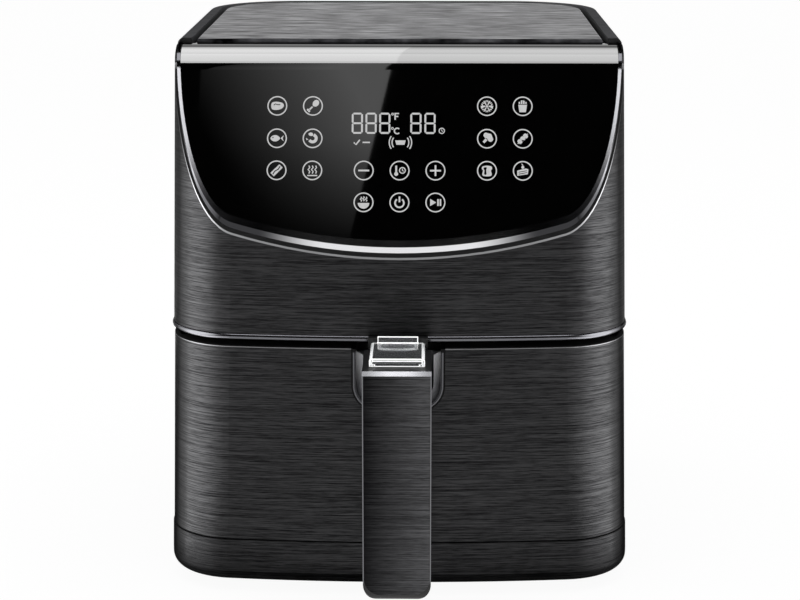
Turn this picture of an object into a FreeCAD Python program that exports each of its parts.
import FreeCAD, Part
import math
import os
import re

import Sketcher
from FreeCAD import Placement, Rotation, Vector

# Drawer air fryer, in millimetres. +Z is up, the drawer opens towards -Y and X runs left to right.
# The origin lies under the middle of the whole object, on the surface that the feet stand on.

# Driving sizes
SIZES = {
    # Outer form: a rounded square with a bowed front that narrows a little towards the top
    "body_width_base": 275.5,
    "body_width_top": 258,
    "body_depth": 300,
    "corner_radius": 58,
    "front_corner_radius": 41,
    "front_bow": 900,
    "total_height": 321.6,
    "foot_height": 6,
    "shell_wall": 3,
    "base_round": 7,
    "rim_round": 3,
    "rim_straight": 6,
    "base_straight": 10,
    "handle_reach": 56,
    "gland_reach": 4,
    # Clearances
    "seat_gap": 0.2,
    "running_gap": 0.3,
    "drawer_gap": 0.8,
    # Waist between the base and the upper housing
    "waist_height": 154.3,
    "waist_gap": 4,
    "waist_trim_height": 3.7,
    "waist_trim_proud": 0.8,
    "waist_trim_depth": 8,
    "waist_trim_round": 1.8,
    # Base
    "band_height": 26.4,
    "floor_step": 1,
    "floor_thickness": 3,
    "drawer_wrap": 60,
    "rail_height": 5,
    "rail_overlap": 6.5,
    "bottom_plate_rise": 3,
    "bottom_plate_thickness": 3,
    "foot_radius": 12,
    "foot_taper": 2,
    "foot_round": 1,
    "foot_inset_side": 46,
    "foot_inset_end": 46,
    "screw_inset_side": 80,
    "screw_inset_end": 22,
    "screw_head_radius": 3.5,
    "screw_head_height": 2.2,
    "screw_radius": 1.45,
    "screw_bite": 7,
    "boss_radius": 4.5,
    "bottom_slot_length": 90,
    "bottom_slot_width": 4,
    "bottom_slot_pitch": 12,
    # Touch panel, which slices the rounded body on a slant
    "panel_bottom": 204.7,
    "panel_lean": 20.6,
    "panel_bend": 20,
    "panel_top_run": 2,
    "panel_thickness": 3,
    "panel_proud": 0.8,
    "panel_step": 2.7,
    "panel_lip_drop": 0.3,
    "trim_reveal": 1.2,
    "trim_width": 2,
    "trim_front_share": 0.75,
    "trim_seat": 1.5,
    "carrier_thickness": 3,
    "board_depth": 14,
    "board_thickness": 1.6,
    "board_width": 170,
    "board_low": 14,
    "board_top_gap": 11,
    "board_post": 7,
    "display_width": 66,
    "display_height": 24,
    "display_drop": 23,
    # Top
    "recess_depth": 6,
    "deck_thickness": 2.5,
    "rim_width": 7.6,
    "groove_width": 3.3,
    "plate_thickness": 3,
    "plate_drop": 0.3,
    "plate_gap": 1,
    "plate_round": 1.3,
    "plate_peg_radius": 5,
    "plate_peg_inset": 26,
    "inlet_slot_length": 16,
    "inlet_slot_width": 5,
    "inlet_slot_pitch": 23,
    "inlet_slot_margin": 2,
    # Rear of the upper housing
    "vent_width": 90,
    "vent_height": 44,
    "vent_drop": 47,
    "vent_slot_height": 3.6,
    "vent_slot_pitch": 6,
    "vent_border": 5,
    "gland_side": 62,
    "gland_rise": 21,
    "gland_bore": 3.7,
    "gland_neck": 7,
    "gland_flange": 10,
    "gland_inner_reach": 6,
    # Drawer
    "drawer_recess": 0.5,
    "drawer_wall": 3,
    "drawer_corner": 8,
    "liner_wall": 2.5,
    "liner_setback": 30,
    "liner_back": 3,
    "notch_width": 54,
    "notch_depth": 38,
    "notch_round": 16,
    "recess_wall": 2.4,
    "pan_setback": 33.2,
    "pan_side_gap": 16.8,
    "pan_back_gap": 20.8,
    "pan_corner": 40,
    "pan_wall": 1.2,
    "pan_clearance": 3.5,
    "pan_rim_drop": 7,
    "pan_rim_width": 8,
    "pan_notch_width": 62,
    "pan_notch_depth": 42,
    # Basket
    "basket_side_gap": 7,
    "basket_front_gap": 9.6,
    "basket_back_gap": 8,
    "basket_corner": 34,
    "basket_wall": 1.2,
    "basket_lift": 15.3,
    "basket_foot_width": 8,
    "basket_slot_length": 13,
    "basket_slot_width": 5,
    "basket_slot_pitch_x": 22,
    "basket_slot_pitch_y": 15,
    "bumper_radius": 6,
    "bumper_rise": 20,
    "basket_rim_lap": 2,
    # Handle
    "handle_width": 38.2,
    "handle_bottom": 17.4,
    "handle_grip_depth": 21,
    "handle_rise": 1.5,
    "handle_brow": 2.2,
    "handle_chin": 4.7,
    "handle_end_round": 10,
    "handle_face_depth": 3,
    "handle_bezel_width": 0.6,
    "handle_bezel_gap": 0.15,
    "handle_plate_drop": 0.5,
    "handle_back_round": 6,
    "handle_palm_round": 14,
    "neck_width": 34,
    "neck_gap": 6,
    "neck_height": 22,
    "neck_step": 4,
    "collar_height": 4.1,
    "collar_gap": 1,
    "bracket_thickness": 2,
    "bracket_width": 54,
    "bracket_round": 3,
    "bracket_screw_inset": 5,
    "bracket_screw_rise": 4,
    "bracket_below": 6,
    "bracket_above": 2,
    # Release button, its sliding guard and the latch
    "plateau_width": 27.5,
    "plateau_height": 2.4,
    "plateau_setback": 0.3,
    "guard_wall": 1.4,
    "guard_height": 2.6,
    "guard_length": 36,
    "guard_front": 10,
    "guard_lip": 1.3,
    "guard_round": 1.6,
    "guard_travel": 18,
    "guard_tab_width": 23,
    "guard_tab_rise": 3.8,
    "button_length": 16,
    "button_width": 22,
    "button_rise": 0.9,
    "button_travel": 3.5,
    "button_behind_front": 41,
    "button_dish": 30,
    "button_hollow": 1.2,
    "button_foot": 1.5,
    "button_foot_length": 4,
    "channel_width": 11,
    "channel_floor": 3,
    "channel_roof": 2.2,
    "lever_width": 8,
    "lever_height": 4,
    "spring_room": 4.5,
    "pivot_radius": 1.5,
    "pivot_boss": 3.4,
    "pivot_play": 0.05,
    "hook_thickness": 3,
    "hook_drop": 2,
    "hook_height": 3,
    "hook_bite": 1.0,
    "hook_side_gap": 1,
    "strike_thickness": 1.5,
    "strike_width": 30,
    "strike_drop": 6,
    "spring_radius": 2.6,
    "spring_wire": 0.6,
    "spring_turns": 4,
    # Heater chamber
    "frame_thickness": 3,
    "hood_side_gap": 5,
    "hood_height": 55,
    "hood_corner": 30,
    "hood_wall": 1,
    "hood_flange": 5,
    "hood_opening": 6,
    "coil_drop": 42,
    "coil_tube": 3.25,
    "coil_start": 72,
    "coil_pitch": 11,
    "coil_turns": 3,
    "coil_bend": 8,
    "coil_leg": 12,
    "coil_hole_gap": 0.6,
    "coil_bracket_width": 8,
    "coil_bracket_thickness": 1.2,
    "coil_bracket_margin": 1,
    "guard_drop": 49.5,
    "guard_wire": 1.5,
    "guard_ring": 30,
    "guard_ring_count": 3,
    "probe_radius": 2.5,
    "probe_length": 34,
    "probe_offset": 84,
    "probe_cap": 3,
    "probe_stub": 1,
    # Fans and motor
    "shaft_radius": 3,
    "shaft_end": 2,
    "fan_radius": 58,
    "fan_plate": 1.2,
    "fan_blade": 14,
    "fan_blade_root": 16,
    "fan_blade_count": 10,
    "fan_drop": 32,
    "fan_hub": 8,
    "fan_hub_drop": 1,
    "fan_rim": 2,
    "nut_height": 4,
    "nut_radius": 6,
    "bracket_rise": 8,
    "motor_bracket_width": 92,
    "motor_bracket_depth": 40,
    "motor_bracket_sheet": 1.5,
    "motor_post": 5,
    "stator_width": 70,
    "stator_depth": 56,
    "stator_height": 22,
    "stator_gap": 5,
    "stator_round": 4,
    "stator_web": 3,
    "rotor_radius": 15,
    "rotor_gap": 0.6,
    "winding_reach": 4,
    "bearing_radius": 8,
    "bearing_height": 6,
    "bridge_depth": 18,
    "bridge_sheet": 2,
    "bridge_leg": 10,
    "cooler_radius": 50,
    "cooler_hub": 12,
    "cooler_gap": 3,
    "cooler_height": 14,
    "cooler_blade_count": 7,
    "cooler_blade": 2.5,
    "cooler_round": 2,
    # Electronics, duct and drawer switch
    "tray_width": 64,
    "tray_side_gap": 7,
    "tray_front": 95,
    "tray_length": 96,
    "tray_wall": 2,
    "tray_height": 12,
    "tray_post": 6,
    "tray_post_gap": 1,
    "tray_board_gap": 0.5,
    "power_board_rise": 5,
    "part_height": 18,
    "duct_width": 76,
    "duct_height": 30,
    "duct_wall": 1.2,
    "switch_width": 28,
    "switch_height": 16,
    "switch_depth": 11,
    "switch_drop": 23,
    "plunger_radius": 2,
    "plunger_travel": 1.5,
    "plunger_guide": 4,
    "plunger_end_gap": 0.5,
}

doc = FreeCAD.newDocument("air_fryer")
sheet = doc.addObject("Spreadsheet::Sheet", "Sizes")
for row, (size_name, size_value) in enumerate(SIZES.items(), 1):
    sheet.set(f"A{row}", size_name)
    sheet.set(f"B{row}", str(size_value))
    sheet.setAlias(f"B{row}", size_name)
doc.recompute()

NODES = []


# Helpers that tie features to the sheet
def formula(text):
    """Turns the plain names of the sheet into its cell references."""
    return re.sub(r"[a-z_]\w*", lambda m: f"Sizes.{m[0]}" if m[0] in SIZES else m[0], str(text))


def number(text):
    """The present value of a formula."""
    return float(sheet.evalExpression(formula(text)))


def bind(feature, prop, text):
    feature.setExpression(prop, formula(text))


def place(feature, x=0, y=0, z=0):
    for axis, text in zip("xyz", (x, y, z)):
        bind(feature, f"Placement.Base.{axis}", text)
    return feature


def node(feature, label):
    """Names a finished piece, which is written to a file of that name."""
    feature.Label = label
    NODES.append(feature)
    return feature


def box(name, x, y, z):
    """A block between two values on each axis."""
    block = doc.addObject("Part::Box", name)
    for prop, span in zip(("Length", "Width", "Height"), (x, y, z)):
        bind(block, prop, f"({span[1]}) - ({span[0]})")
    return place(block, x[0], y[0], z[0])


TURNS = {
    "X": Rotation(Vector(0, 1, 0), 90),
    "Y": Rotation(Vector(-1, 0, 0), 90),
    "Z": Rotation(),
}


def rod(name, axis, radius, span, x=0, y=0, z=0):
    """A round bar along an axis, between two values on that axis."""
    bar = doc.addObject("Part::Cylinder", name)
    bar.Placement = Placement(Vector(), TURNS[axis])
    bind(bar, "Radius", radius)
    bind(bar, "Height", f"({span[1]}) - ({span[0]})")
    start = {"X": x, "Y": y, "Z": z}
    start[axis] = span[0]
    return place(bar, start["X"], start["Y"], start["Z"])


def cut(name, base, *tools):
    made = doc.addObject("Part::Cut", name)
    made.Base = base
    made.Tool = tools[0] if len(tools) == 1 else fuse(name + "_tools", *tools)
    return made


def fuse(name, *shapes):
    made = doc.addObject("Part::MultiFuse", name)
    made.Shapes = list(shapes)
    made.Refine = True
    return made


def common(name, *shapes):
    made = doc.addObject("Part::MultiCommon", name)
    made.Shapes = list(shapes)
    return made


def together(name, *shapes):
    """Several separate solids that make one piece of the list, such as a set of screws."""
    made = doc.addObject("Part::Compound", name)
    made.Links = list(shapes)
    return made


def sketch_on(body, plane, offset=0):
    made = body.newObject("Sketcher::SketchObject", body.Name + "_sketch")
    support = next(f for f in body.Origin.OriginFeatures if f.Role == plane + "_Plane")
    made.AttachmentSupport = [(support, "")]
    made.MapMode = "FlatFace"
    bind(made, "AttachmentOffset.Base.z", offset)
    return made


def outline(sketch, corners):
    """A closed outline through corners (u, v) or (u, v, radius), each tied to the sheet by its formulas."""
    points = [Vector(number(c[0]), number(c[1]), 0) for c in corners]
    radii = [number(c[2]) if len(c) > 2 else 0 for c in corners]
    count = len(corners)
    rounds = {}
    for i in range(count):
        before = (points[i] - points[i - 1]).normalize()
        after = (points[(i + 1) % count] - points[i]).normalize()
        turn = math.atan2(before.cross(after).z, before.dot(after))
        reach = radii[i] * math.tan(abs(turn) / 2)
        rounds[i] = (points[i] - before * reach, points[i] + after * reach, turn, before)
    lines = []
    for i in range(count):
        start, end = rounds[i][1], rounds[(i + 1) % count][0]
        lines.append(sketch.addGeometry(Part.LineSegment(start, end)))

    def tie(kind, *where):
        return sketch.addConstraint(Sketcher.Constraint(kind, *where))

    def fix(geometry, position, corner):
        for kind, text in (("DistanceX", corner[0]), ("DistanceY", corner[1])):
            index = tie(kind, -1, 1, geometry, position, number(text))
            bind(sketch, f"Constraints[{index}]", text)

    for i, corner in enumerate(corners):
        into, out = lines[i - 1], lines[i]
        if not radii[i]:
            tie("Coincident", into, 2, out, 1)
            fix(out, 1, corner)
            continue
        start, end, turn, before = rounds[i]
        side = 1 if turn > 0 else -1
        centre = start + Vector(-before.y, before.x, 0) * (radii[i] * side)
        angles = [math.atan2(p.y - centre.y, p.x - centre.x) for p in (start, end)]
        circle = Part.Circle(centre, Vector(0, 0, 1), radii[i])
        first, last = angles if side > 0 else angles[::-1]
        arc = sketch.addGeometry(Part.ArcOfCircle(circle, first, last))
        tie("Tangent", into, 2, arc, 1 if side > 0 else 2)
        tie("Tangent", arc, 2 if side > 0 else 1, out, 1)
        index = tie("Radius", arc, radii[i])
        bind(sketch, f"Constraints[{index}]", corner[2])
        point = sketch.addGeometry(Part.Point(points[i]), True)
        tie("PointOnObject", point, 1, into)
        tie("PointOnObject", point, 1, out)
        fix(point, 1, corner)


def prism(name, plane, corners, span):
    """An outline on the XY, XZ or YZ plane, padded between two values on the third axis."""
    body = doc.addObject("PartDesign::Body", name)
    far = f"-({span[1]})" if plane == "XZ" else span[0]
    sketch = sketch_on(body, plane, far)
    outline(sketch, corners)
    pad = body.newObject("PartDesign::Pad", name + "_pad")
    pad.Profile = sketch
    bind(pad, "Length", f"({span[1]}) - ({span[0]})")
    return body


def turned(name, corners, x=0, y=0):
    """An outline of radius and height turned about an upright axis."""
    body = doc.addObject("PartDesign::Body", name)
    sketch = sketch_on(body, "XZ")
    outline(sketch, corners)
    turn = body.newObject("PartDesign::Revolution", name + "_turn")
    turn.Profile = sketch
    turn.ReferenceAxis = (sketch, ["V_Axis"])
    return place(body, x, y)


def rectangle(x, y, radius=None):
    """Four corners, counter-clockwise from the low one."""
    corner = (radius,) if radius is not None else ()
    return [(u, v, *corner) for u, v in ((x[0], y[0]), (x[1], y[0]), (x[1], y[1]), (x[0], y[1]))]


def rounded(name, x, y, z, radius):
    """An upright block with rounded upright edges."""
    return prism(name, "XY", rectangle(x, y, radius), z)


def round_edges(body, radius, wanted):
    """Rounds the edges of a body's last feature whose ends both pass a test."""
    doc.recompute()
    last = body.Tip
    names = [
        f"Edge{i}"
        for i, edge in enumerate(last.Shape.Edges, 1)
        if all(wanted(v.Point) for v in edge.Vertexes)
    ]
    made = body.newObject("PartDesign::Fillet", f"{body.Name}_round{len(body.Group)}")
    made.Base = (last, names)
    bind(made, "Radius", radius)
    return body


def near(a, b):
    return abs(a - b) < 1e-4


# Shared places, each worked out from the driving sizes
FRONT = "(handle_reach - (handle_reach + body_depth + gland_reach) / 2)"
BACK = f"({FRONT} + body_depth)"
HANDLE_FRONT = f"({FRONT} - handle_reach)"
BAND_TOP = "(foot_height + band_height)"
FLOOR_TOP = f"({BAND_TOP} - floor_step)"
FLOOR_LOW = f"({FLOOR_TOP} - floor_thickness)"
DRAWER_LOW = f"({BAND_TOP} + drawer_gap)"
DRAWER_TOP = "(waist_height - waist_gap)"
TRIM_TOP = "(waist_height + waist_trim_height)"
FRAME_TOP = f"({TRIM_TOP} + frame_thickness)"
DECK_TOP = "(total_height - recess_depth)"
DECK_LOW = f"({DECK_TOP} - deck_thickness)"
PAN_FRONT = f"({FRONT} + pan_setback)"
PAN_BACK = f"({BACK} - pan_back_gap)"
PAN_HALF = "(body_width_base / 2 - pan_side_gap)"
AXIS_Y = f"(({PAN_FRONT} + {PAN_BACK}) / 2)"
PAN_LOW = f"({FLOOR_TOP} + pan_clearance)"
PAN_TOP = f"({DRAWER_TOP} - pan_rim_drop)"
BASKET_FRONT = f"({PAN_FRONT} + pan_wall + basket_front_gap)"
BASKET_BACK = f"({PAN_BACK} - pan_wall - basket_back_gap)"
BASKET_HALF = f"({PAN_HALF} - basket_side_gap)"
BASKET_MIDDLE = f"(({BASKET_FRONT} + {BASKET_BACK}) / 2)"
BASKET_LOW = f"({PAN_LOW} + pan_wall + basket_lift)"
HOOD_TOP = f"({FRAME_TOP} + hood_height)"
HOOD_HALF_X = "(body_width_top / 2 - hood_side_gap)"
HOOD_HALF_Y = f"(({PAN_BACK} - {PAN_FRONT}) / 2)"
VENT_LOW = f"({HOOD_TOP} - vent_drop)"
FAN_LOW = f"({HOOD_TOP} - fan_drop)"
STATOR_LOW = f"({HOOD_TOP} + bracket_rise + motor_bracket_sheet + stator_gap)"
STATOR_TOP = f"({STATOR_LOW} + stator_height)"
COOLER_LOW = f"({STATOR_TOP} + bearing_height + bridge_sheet + cooler_gap)"
NOTCH_LOW = f"({DRAWER_TOP} - notch_depth)"
NECK_BOTTOM = f"({NOTCH_LOW} + neck_gap)"
NECK_TOP = f"({NECK_BOTTOM} + neck_height)"
HANDLE_TOP = f"({DRAWER_TOP} + handle_rise)"
PLATEAU_TOP = f"({HANDLE_TOP} + plateau_height)"
GUARD_LIP_TOP = f"({HANDLE_TOP} + plateau_height / 2)"
PLATEAU_FRONT = f"({HANDLE_FRONT} + guard_front + guard_wall + plateau_setback)"
CHANNEL_LOW = f"({NECK_BOTTOM} + channel_floor)"
CHANNEL_HIGH = f"({NECK_TOP} - channel_roof)"
LEVER_LOW = f"({CHANNEL_LOW} + spring_room + button_travel)"
HOOK_LOW = f"({NOTCH_LOW} - hook_drop)"
PIVOT_Z = f"({LEVER_LOW} + lever_height / 2)"
PLATE_LOW = "(foot_height + bottom_plate_rise)"
PLATE_TOP = f"({PLATE_LOW} + bottom_plate_thickness)"
SIDE = "(body_width_base / 2)"
RIM_LOW = "(total_height - rim_straight)"
BASE_BEND_TOP = "(foot_height + base_straight)"


def width_at(z):
    """The body's width at a height."""
    slope = "(body_width_base - body_width_top) / (total_height - foot_height)"
    return f"(body_width_base - {slope} * (({z}) - foot_height))"


def body_outline(sketch, half, side, front, back):
    """The body's outline: a bowed front, round corners and straight sides and back, with its insets."""
    radii = {
        "bow": f"front_bow - ({front})",
        "front": f"front_corner_radius - ({side})",
        "rear": f"corner_radius - ({side})",
    }
    bow, corner, rear = (number(radii[k]) for k in ("bow", "front", "rear"))
    x, y0, y1 = number(half), number(f"{FRONT} + ({front})"), number(f"{BACK} - ({back})")
    centre = Vector(0, y0 + bow, 0)
    eye = Vector(x - corner, centre.y - math.sqrt((bow - corner) ** 2 - (x - corner) ** 2), 0)
    swing = math.atan2(eye.y - centre.y, eye.x)
    quarter = math.pi / 2
    up = Vector(0, 0, 1)

    def arc(middle, radius, first, last):
        return sketch.addGeometry(Part.ArcOfCircle(Part.Circle(middle, up, radius), first, last))

    def line(*ends):
        return sketch.addGeometry(Part.LineSegment(*(Vector(*end, 0) for end in ends)))

    ring = [
        arc(centre, bow, -math.pi - swing, swing),
        arc(eye, corner, swing, 0),
        line((x, eye.y), (x, y1 - rear)),
        arc(Vector(x - rear, y1 - rear, 0), rear, 0, quarter),
        line((x - rear, y1), (rear - x, y1)),
        arc(Vector(rear - x, y1 - rear, 0), rear, quarter, 2 * quarter),
        line((-x, y1 - rear), (-x, eye.y)),
        arc(Vector(-eye.x, eye.y, 0), corner, -2 * quarter, -math.pi - swing),
    ]
    for i, piece in enumerate(ring):
        sketch.addConstraint(Sketcher.Constraint("Tangent", piece, 2, ring[(i + 1) % len(ring)], 1))
    sketch.addConstraint(Sketcher.Constraint("PointOnObject", ring[0], 3, -2))
    rounds = ((0, "bow"), (1, "front"), (3, "rear"), (5, "rear"), (7, "front"))
    tied = [(("Radius", ring[i]), radii[k]) for i, k in rounds]
    tied.append((("DistanceY", -1, 1, ring[0], 3), f"{FRONT} + ({front}) + {radii['bow']}"))
    tied.append((("DistanceX", -1, 1, ring[2], 1), half))
    tied.append((("DistanceX", -1, 1, ring[2], 2), half))
    tied.append((("DistanceX", -1, 1, ring[6], 1), f"-{half}"))
    tied.append((("DistanceX", -1, 1, ring[6], 2), f"-{half}"))
    tied.append((("DistanceY", -1, 1, ring[4], 1), f"{BACK} - ({back})"))
    for constraint, value in tied:
        index = sketch.addConstraint(Sketcher.Constraint(*constraint, number(value)))
        bind(sketch, f"Constraints[{index}]", value)


def form(name, z, side=0, front=None, back=None):
    """The body's rounded, narrowing outline between two heights, drawn in by the given insets."""
    front = side if front is None else front
    back = side if back is None else back
    body = doc.addObject("PartDesign::Body", name)
    sketches = []
    for height in z:
        sketch = sketch_on(body, "XY", height)
        body_outline(sketch, f"({width_at(height)} / 2 - ({side}))", side, front, back)
        sketches.append(sketch)
    loft = body.newObject("PartDesign::AdditiveLoft", name + "_loft")
    loft.Profile = sketches[0]
    loft.Sections = [sketches[1]]
    loft.Ruled = True
    return body


def straight_form(name, z, width_height, inset="0"):
    """The body's rounded outline at one height, drawn in by an inset and carried straight up."""
    body = doc.addObject("PartDesign::Body", name)
    sketch = sketch_on(body, "XY", z[0])
    body_outline(sketch, f"({width_at(width_height)} / 2 - ({inset}))", inset, inset, inset)
    pad = body.newObject("PartDesign::Pad", name + "_pad")
    pad.Profile = sketch
    bind(pad, "Length", f"({z[1]}) - ({z[0]})")
    return body


# The slanted front profile of the upper housing, in the YZ plane
PANEL_TOP = "(total_height - panel_step)"
PANEL_CORNER_Y = f"({FRONT} + ({PANEL_TOP} - panel_bottom) * tan(panel_lean))"
PANEL_END = f"({PANEL_CORNER_Y} + panel_bend * tan((90 - panel_lean) / 2) + panel_top_run)"
PANEL_RUN = f"(({PANEL_TOP} - panel_bottom) / cos(panel_lean) - panel_bend * tan((90 - panel_lean) / 2))"
DISPLAY_HIGH = f"({PANEL_RUN} - display_drop)"
DISPLAY_LOW = f"({DISPLAY_HIGH} - display_height)"
BOARD_HIGH = f"({PANEL_RUN} - board_top_gap)"
SLAB_LOW = f"({TRIM_TOP} + 10)"
SLAB_HALF = "body_width_base"


def behind_panel(name, inset, end):
    """Everything behind the panel's outer face drawn in by an inset, back to a plane across the top."""
    lean_y = f"({FRONT} + ({{z}} - panel_bottom) * tan(panel_lean) + ({inset}) / cos(panel_lean))"
    top = f"({PANEL_TOP} - ({inset}))"
    corners = [
        (lean_y.format(z=SLAB_LOW), SLAB_LOW),
        (end, SLAB_LOW),
        (end, top),
        (lean_y.format(z=top), top, f"panel_bend - ({inset})"),
    ]
    return prism(name, "YZ", corners, (f"-{SLAB_HALF}", SLAB_HALF))


def panel_layer(name, outer, inner, outline_form):
    """A sheet that follows the panel's slant and bend, between two insets, cut to a form's outline."""
    skin = cut(
        name + "_skin",
        behind_panel(name + "_outer", outer, PANEL_END),
        behind_panel(name + "_inner", inner, f"{PANEL_END} + 1"),
    )
    return common(name, skin, outline_form)


def panel_form(name, inset):
    """The body's outline drawn in by an inset, of which the front takes a share that the slant draws out."""
    front = f"(({inset}) * trim_front_share)"
    return form(name, (SLAB_LOW, "total_height + panel_proud + 1"), inset, front, inset)


def on_panel(name, x, depth, up):
    """A block that lies parallel to the panel: across, inwards from its face, and up its slope."""
    block = doc.addObject("Part::Box", name)
    block.Placement = Placement(Vector(), Rotation(Vector(-1, 0, 0), 10))
    bind(block, "Placement.Rotation.Angle", "panel_lean")
    for prop, span in zip(("Length", "Width", "Height"), (x, depth, up)):
        bind(block, prop, f"({span[1]}) - ({span[0]})")
    y = f"{FRONT} + ({depth[0]}) * cos(panel_lean) + ({up[0]}) * sin(panel_lean)"
    z = f"panel_bottom - ({depth[0]}) * sin(panel_lean) + ({up[0]}) * cos(panel_lean)"
    return place(block, x[0], y, z)


def upper_housing():
    """Upper shell with its slanted opening, the touch panel, its trim and what lies behind it."""
    outer = fuse("shell_form", form("shell_sides", (TRIM_TOP, RIM_LOW)), shell_rim())
    hollow = form("shell_hollow", (f"{TRIM_TOP} - 1", DECK_LOW), "shell_wall")
    front_block = box(
        "front_block",
        (f"-{SLAB_HALF}", SLAB_HALF),
        (f"{FRONT} - 20", PANEL_END),
        (f"{SLAB_LOW} + 1", "total_height + 20"),
    )
    glass_edge = "(trim_reveal + trim_width)"
    steps = [
        ("lip_cut", "panel_lip_drop", None),
        ("trim_cut", "trim_seat", panel_form("trim_cut_form", "trim_reveal")),
        ("glass_cut", "panel_thickness + seat_gap / 2", panel_form("glass_cut_form", glass_edge)),
        (
            "carrier_cut",
            "panel_thickness + carrier_thickness + seat_gap / 2",
            form("carrier_cut_form", (SLAB_LOW, "total_height + 2"), "shell_wall + seat_gap / 2"),
        ),
    ]
    cutters = []
    for name, inset, within in steps:
        ahead = cut(name, front_block, behind_panel(name + "_behind", inset, f"{PANEL_END} + 1"))
        cutters.append(common(name + "_part", ahead, within) if within else ahead)
    recess = common(
        "plate_recess",
        form("recess_form", (DECK_TOP, "total_height + 5"), "rim_width"),
        box("recess_box", (f"-{SLAB_HALF}", SLAB_HALF), (PANEL_END, BACK), (DECK_TOP, "total_height + 5")),
    )
    vent = box(
        "vent_opening",
        ("-vent_width / 2", "vent_width / 2"),
        (f"{BACK} - 2 * shell_wall", f"{BACK} + shell_wall"),
        (VENT_LOW, f"{VENT_LOW} + vent_height"),
    )
    gland_hole = rod(
        "gland_hole",
        "Y",
        "gland_neck + seat_gap / 2",
        (f"{BACK} - 2 * shell_wall", f"{BACK} + shell_wall"),
        x="-gland_side",
        z=f"{TRIM_TOP} + gland_rise",
    )
    shell = cut("upper_shell_solid", outer, hollow, *cutters, recess, vent, gland_hole, *inlet_slots())
    node(shell, "upper_shell")

    trim_ring = cut(
        "trim_ring",
        panel_form("trim_ring_outer", "trim_reveal + seat_gap / 2"),
        panel_form("trim_ring_inner", glass_edge),
    )
    node(panel_layer("panel_trim_solid", "-panel_proud", "trim_seat - seat_gap / 4", trim_ring), "panel_trim")
    glass_form = panel_form("glass_form", f"{glass_edge} + seat_gap / 2")
    node(panel_layer("touch_panel_solid", "0", "panel_thickness", glass_form), "touch_panel")
    panel_backing()


def shell_rim():
    """The straight top of the upper shell, with its rounded outer edge."""
    rim = straight_form("shell_rim", (RIM_LOW, "total_height"), RIM_LOW)
    top = number("total_height")
    return round_edges(rim, "rim_round", lambda p: near(p.z, top))


def panel_backing():
    """The black carrier behind the panel, with the display and the control board that it holds."""
    inner = "(panel_thickness + carrier_thickness)"
    carrier_form = form("carrier_form", (SLAB_LOW, "total_height"), "shell_wall + running_gap")
    sheet_part = panel_layer("carrier_sheet", "panel_thickness", inner, carrier_form)
    window = on_panel(
        "display_window",
        ("-display_width / 2 - running_gap", "display_width / 2 + running_gap"),
        ("panel_thickness - 1", f"{inner} + 1"),
        (f"{DISPLAY_LOW} - running_gap", f"{DISPLAY_HIGH} + running_gap"),
    )
    posts = []
    for i, side in enumerate((-1, 1)):
        for j, up in enumerate(("board_low", f"{BOARD_HIGH} - board_post")):
            x = f"{side} * (board_width / 2 - board_post / 2)"
            posts.append(
                on_panel(
                    f"board_post{i}{j}",
                    (f"{x} - board_post / 2", f"{x} + board_post / 2"),
                    (f"{inner} - 1", "board_depth"),
                    (up, f"{up} + board_post"),
                )
            )
    carrier = cut("carrier_solid", fuse("carrier_blank", sheet_part, *posts), window)
    node(carrier, "panel_carrier")
    board = on_panel(
        "control_board_solid",
        ("-board_width / 2", "board_width / 2"),
        ("board_depth", "board_depth + board_thickness"),
        ("board_low", BOARD_HIGH),
    )
    node(board, "control_board")
    display = on_panel(
        "display_solid",
        ("-display_width / 2", "display_width / 2"),
        ("panel_thickness + seat_gap", "board_depth"),
        (DISPLAY_LOW, DISPLAY_HIGH),
    )
    node(display, "display_module")


def inlet_slots():
    """Air inlet slots in the deck, in rows under both side gaps and the rear gap of the top plate."""
    slots = []
    depth = (f"{DECK_LOW} - 1", f"{DECK_TOP} + 1")
    edge = "(rim_width + groove_width + inlet_slot_width / 2 + inlet_slot_margin)"
    first = f"({BACK} - corner_radius - inlet_slot_length)"
    for i in range(6):
        start = f"({first} - {i} * inlet_slot_pitch)"
        for side in (-1, 1):
            x = f"({side} * (body_width_top / 2 - {edge}))"
            slots.append(
                box(
                    f"inlet_side_{i}_{side + 1}",
                    (f"{x} - inlet_slot_width / 2", f"{x} + inlet_slot_width / 2"),
                    (start, f"{start} + inlet_slot_length"),
                    depth,
                )
            )
    for i in range(6):
        x = f"({i - 2.5} * inlet_slot_pitch)"
        y = f"({BACK} - {edge})"
        slots.append(
            box(
                f"inlet_rear_{i}",
                (f"{x} - inlet_slot_length / 2", f"{x} + inlet_slot_length / 2"),
                (f"{y} - inlet_slot_width / 2", f"{y} + inlet_slot_width / 2"),
                depth,
            )
        )
    return slots


def top_plate():
    """The brushed plate on top, standing on pegs so that air enters round its edge."""
    inset = "(rim_width + groove_width)"
    top = "(total_height - plate_drop)"
    low = f"({top} - plate_thickness)"
    blank = straight_form("top_plate_form", (low, top), "total_height", inset)
    top_z = number(top)
    round_edges(blank, "plate_round", lambda p: near(p.z, top_z))
    front = f"({PANEL_END} + plate_gap)"
    keep = box("top_plate_keep", (f"-{SLAB_HALF}", SLAB_HALF), (front, BACK), (f"{low} - 1", f"{top} + 1"))
    plate = common("top_plate_sheet", blank, keep)
    pegs = []
    for i, side in enumerate((-1, 0, 1)):
        for j, y in enumerate((f"{front} + plate_peg_inset", f"{BACK} - {inset} - plate_peg_inset")):
            x = f"{side} * (body_width_top / 2 - {inset} - plate_peg_inset)"
            pegs.append(rod(f"plate_peg{i}{j}", "Z", "plate_peg_radius", (DECK_TOP, f"{low} + 1"), x, y))
    node(fuse("top_plate_solid", plate, *pegs), "top_plate")


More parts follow.
